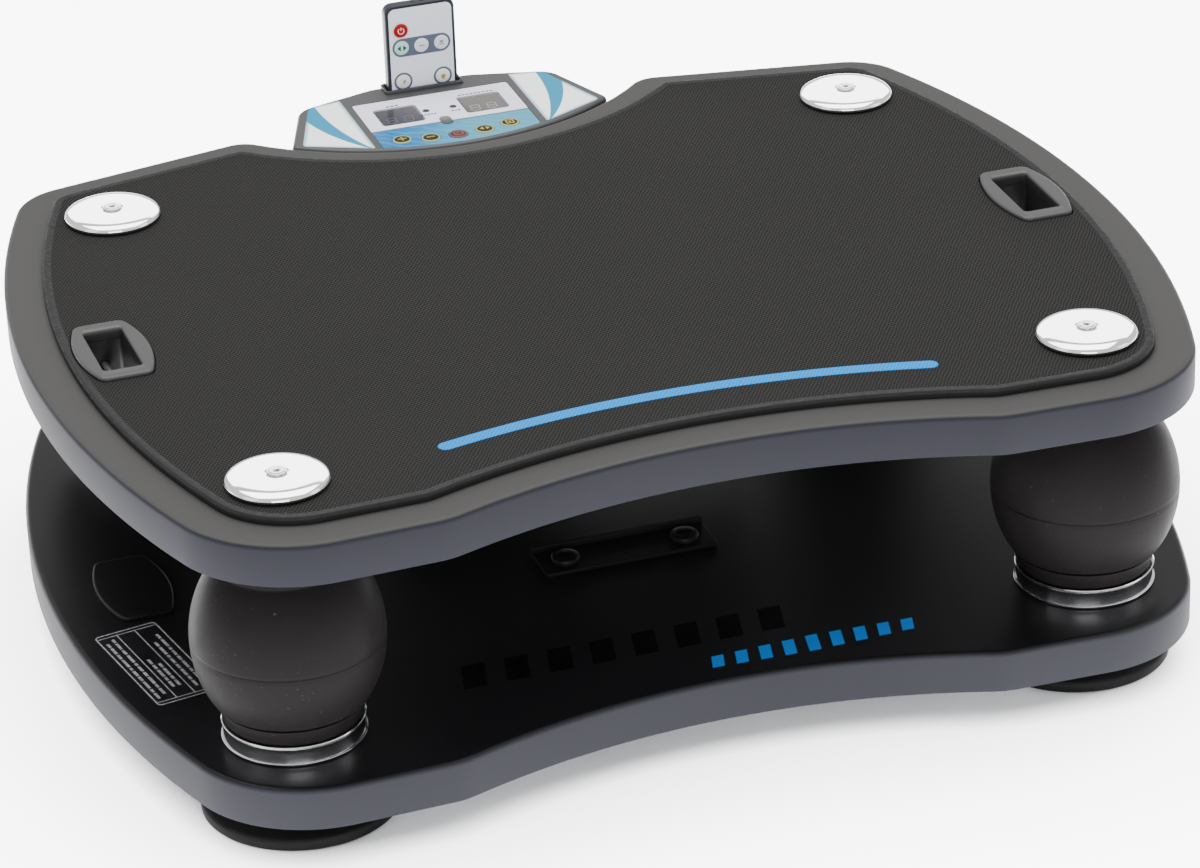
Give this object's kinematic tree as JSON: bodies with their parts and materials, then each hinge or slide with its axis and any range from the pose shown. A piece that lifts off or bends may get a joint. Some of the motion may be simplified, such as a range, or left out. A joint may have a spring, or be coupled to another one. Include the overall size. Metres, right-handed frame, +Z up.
{
  "type": "vibration plate",
  "caption": "Powered vibration plate: a matted deck on rubber bulbs over a footed base, with strap slots and a rear console with a card remote.",
  "frame": {"origin": "on the floor, at the centre of the overall box, so midway between the front edge and the back of the remote holder", "axes": "+X along the long side to the right, +Y from the user's front edge to the console, +Z up"},
  "size_m": [0.5724, 0.5142, 0.221],
  "materials": {
    "deck_grey": "satin warm grey moulding",
    "base_black": "black satin moulding with soft reflections",
    "mat_rubber": "charcoal rubber with a fine woven grain",
    "sky_blue": "sky-blue grained rubber",
    "bulb_rubber": "black-brown rubber, soft sheen",
    "foot_rubber": "matt black rubber",
    "chrome": "polished chrome",
    "steel": "plain steel",
    "zinc_plate": "zinc-plated sheet steel",
    "console_grey": "satin grey moulding",
    "panel_white": "printed silver-white and blue film",
    "window_smoke": "smoked window",
    "key_olive": "dark olive key with a pale outline",
    "key_red": "red key",
    "remote_white": "pale satin face with a dark edge",
    "key_white": "white domed key",
    "black_plastic": "black satin",
    "board_green": "green circuit board",
    "cast_iron": "black-painted casting"
  },
  "bodies": {
    "base": {"base_bottom_cover": "zinc_plate", "base_shell": "base_black", "bulb_front_left": "bulb_rubber", "bulb_front_right": "bulb_rubber", "bulb_rear_left": "bulb_rubber", "bulb_rear_right": "bulb_rubber", "bulb_ring_front_left": "chrome", "bulb_ring_front_right": "chrome", "bulb_ring_rear_left": "chrome", "bulb_ring_rear_right": "chrome", "centre_bracket": "base_black", "console_column": "console_grey", "console_housing": "console_grey", "console_panel": "panel_white", "control_board": "board_green", "display_module": "window_smoke", "foot_front_left": "foot_rubber", "foot_front_right": "foot_rubber", "foot_rear_left": "foot_rubber", "foot_rear_right": "foot_rubber", "mains_inlet": "black_plastic", "remote_holder": "black_plastic", "slot_cover_left": "base_black", "slot_cover_right": "base_black"},
    "deck": {"bearing_plate_left": "cast_iron", "bearing_plate_right": "cast_iron", "cap_front_left": "chrome", "cap_front_right": "chrome", "cap_rear_left": "chrome", "cap_rear_right": "chrome", "cap_screw_front_left": "steel", "cap_screw_front_right": "steel", "cap_screw_rear_left": "steel", "cap_screw_rear_right": "steel", "deck_mat": "mat_rubber", "deck_pan": "zinc_plate", "deck_shell": "deck_grey", "grip_stripe": "sky_blue", "motor_housing": "cast_iron", "motor_saddle": "zinc_plate", "strap_bar_left": "steel", "strap_bar_right": "steel", "strap_frame_left": "deck_grey", "strap_frame_right": "deck_grey"},
    "rotor": {"rotor_shaft": "steel", "eccentric_weight_left": "cast_iron", "eccentric_weight_right": "cast_iron"},
    "power_rocker": {"power_rocker": "black_plastic"},
    "console_key_plus": {"console_key_plus": "key_olive"},
    "console_key_minus": {"console_key_minus": "key_olive"},
    "console_key_power": {"console_key_power": "key_red"},
    "console_key_mode": {"console_key_mode": "key_olive"},
    "console_key_program": {"console_key_program": "key_olive"},
    "remote": {"remote_case": "remote_white"},
    "remote_key_power": {"remote_key_power": "key_red"},
    "remote_key_left": {"remote_key_left": "key_white"},
    "remote_key_middle": {"remote_key_middle": "key_white"},
    "remote_key_right": {"remote_key_right": "key_white"},
    "remote_key_lower_left": {"remote_key_lower_left": "key_white"},
    "remote_key_lower_right": {"remote_key_lower_right": "key_white"}
  },
  "joints": [
    {"name": "deck_bounce", "type": "slide", "parent": "base", "child": "deck", "axis": [0, 0, 1], "range_m": [-0.006, 0.004], "stiffness_N_per_m": 120000, "springref_m": 0.0009, "deforming": ["bulb_front_left", "bulb_front_right", "bulb_rear_left", "bulb_rear_right"]},
    {"name": "rotor_spin", "type": "hinge", "parent": "deck", "child": "rotor", "pos_m": [0, 0.00557, 0.108], "axis": [1, 0, 0], "continuous": true},
    {"name": "power_rocker_tilt", "type": "hinge", "parent": "base", "child": "power_rocker", "pos_m": [0.024, 0.21657, 0.072], "axis": [1, 0, 0], "range_deg": [0, 16]},
    {"name": "console_key_plus_press", "type": "slide", "parent": "base", "child": "console_key_plus", "axis": [0, 0, -1], "range_m": [0, 0.0008], "stiffness_N_per_m": 500},
    {"name": "console_key_minus_press", "type": "slide", "parent": "base", "child": "console_key_minus", "axis": [0, 0, -1], "range_m": [0, 0.0008], "stiffness_N_per_m": 500},
    {"name": "console_key_power_press", "type": "slide", "parent": "base", "child": "console_key_power", "axis": [0, 0, -1], "range_m": [0, 0.0008], "stiffness_N_per_m": 500},
    {"name": "console_key_mode_press", "type": "slide", "parent": "base", "child": "console_key_mode", "axis": [0, 0, -1], "range_m": [0, 0.0008], "stiffness_N_per_m": 500},
    {"name": "console_key_program_press", "type": "slide", "parent": "base", "child": "console_key_program", "axis": [0, 0, -1], "range_m": [0, 0.0008], "stiffness_N_per_m": 500},
    {"name": "remote_lift", "type": "slide", "parent": "base", "child": "remote", "axis": [0, 0, 1], "range_m": [0, 0.042]},
    {"name": "remote_key_power_press", "type": "slide", "parent": "remote", "child": "remote_key_power", "axis": [0, 1, 0], "range_m": [0, 0.0005], "stiffness_N_per_m": 500},
    {"name": "remote_key_left_press", "type": "slide", "parent": "remote", "child": "remote_key_left", "axis": [0, 1, 0], "range_m": [0, 0.0005], "stiffness_N_per_m": 500},
    {"name": "remote_key_middle_press", "type": "slide", "parent": "remote", "child": "remote_key_middle", "axis": [0, 1, 0], "range_m": [0, 0.0005], "stiffness_N_per_m": 500},
    {"name": "remote_key_right_press", "type": "slide", "parent": "remote", "child": "remote_key_right", "axis": [0, 1, 0], "range_m": [0, 0.0005], "stiffness_N_per_m": 500},
    {"name": "remote_key_lower_left_press", "type": "slide", "parent": "remote", "child": "remote_key_lower_left", "axis": [0, 1, 0], "range_m": [0, 0.0005], "stiffness_N_per_m": 500},
    {"name": "remote_key_lower_right_press", "type": "slide", "parent": "remote", "child": "remote_key_lower_right", "axis": [0, 1, 0], "range_m": [0, 0.0005], "stiffness_N_per_m": 500}
  ]
}
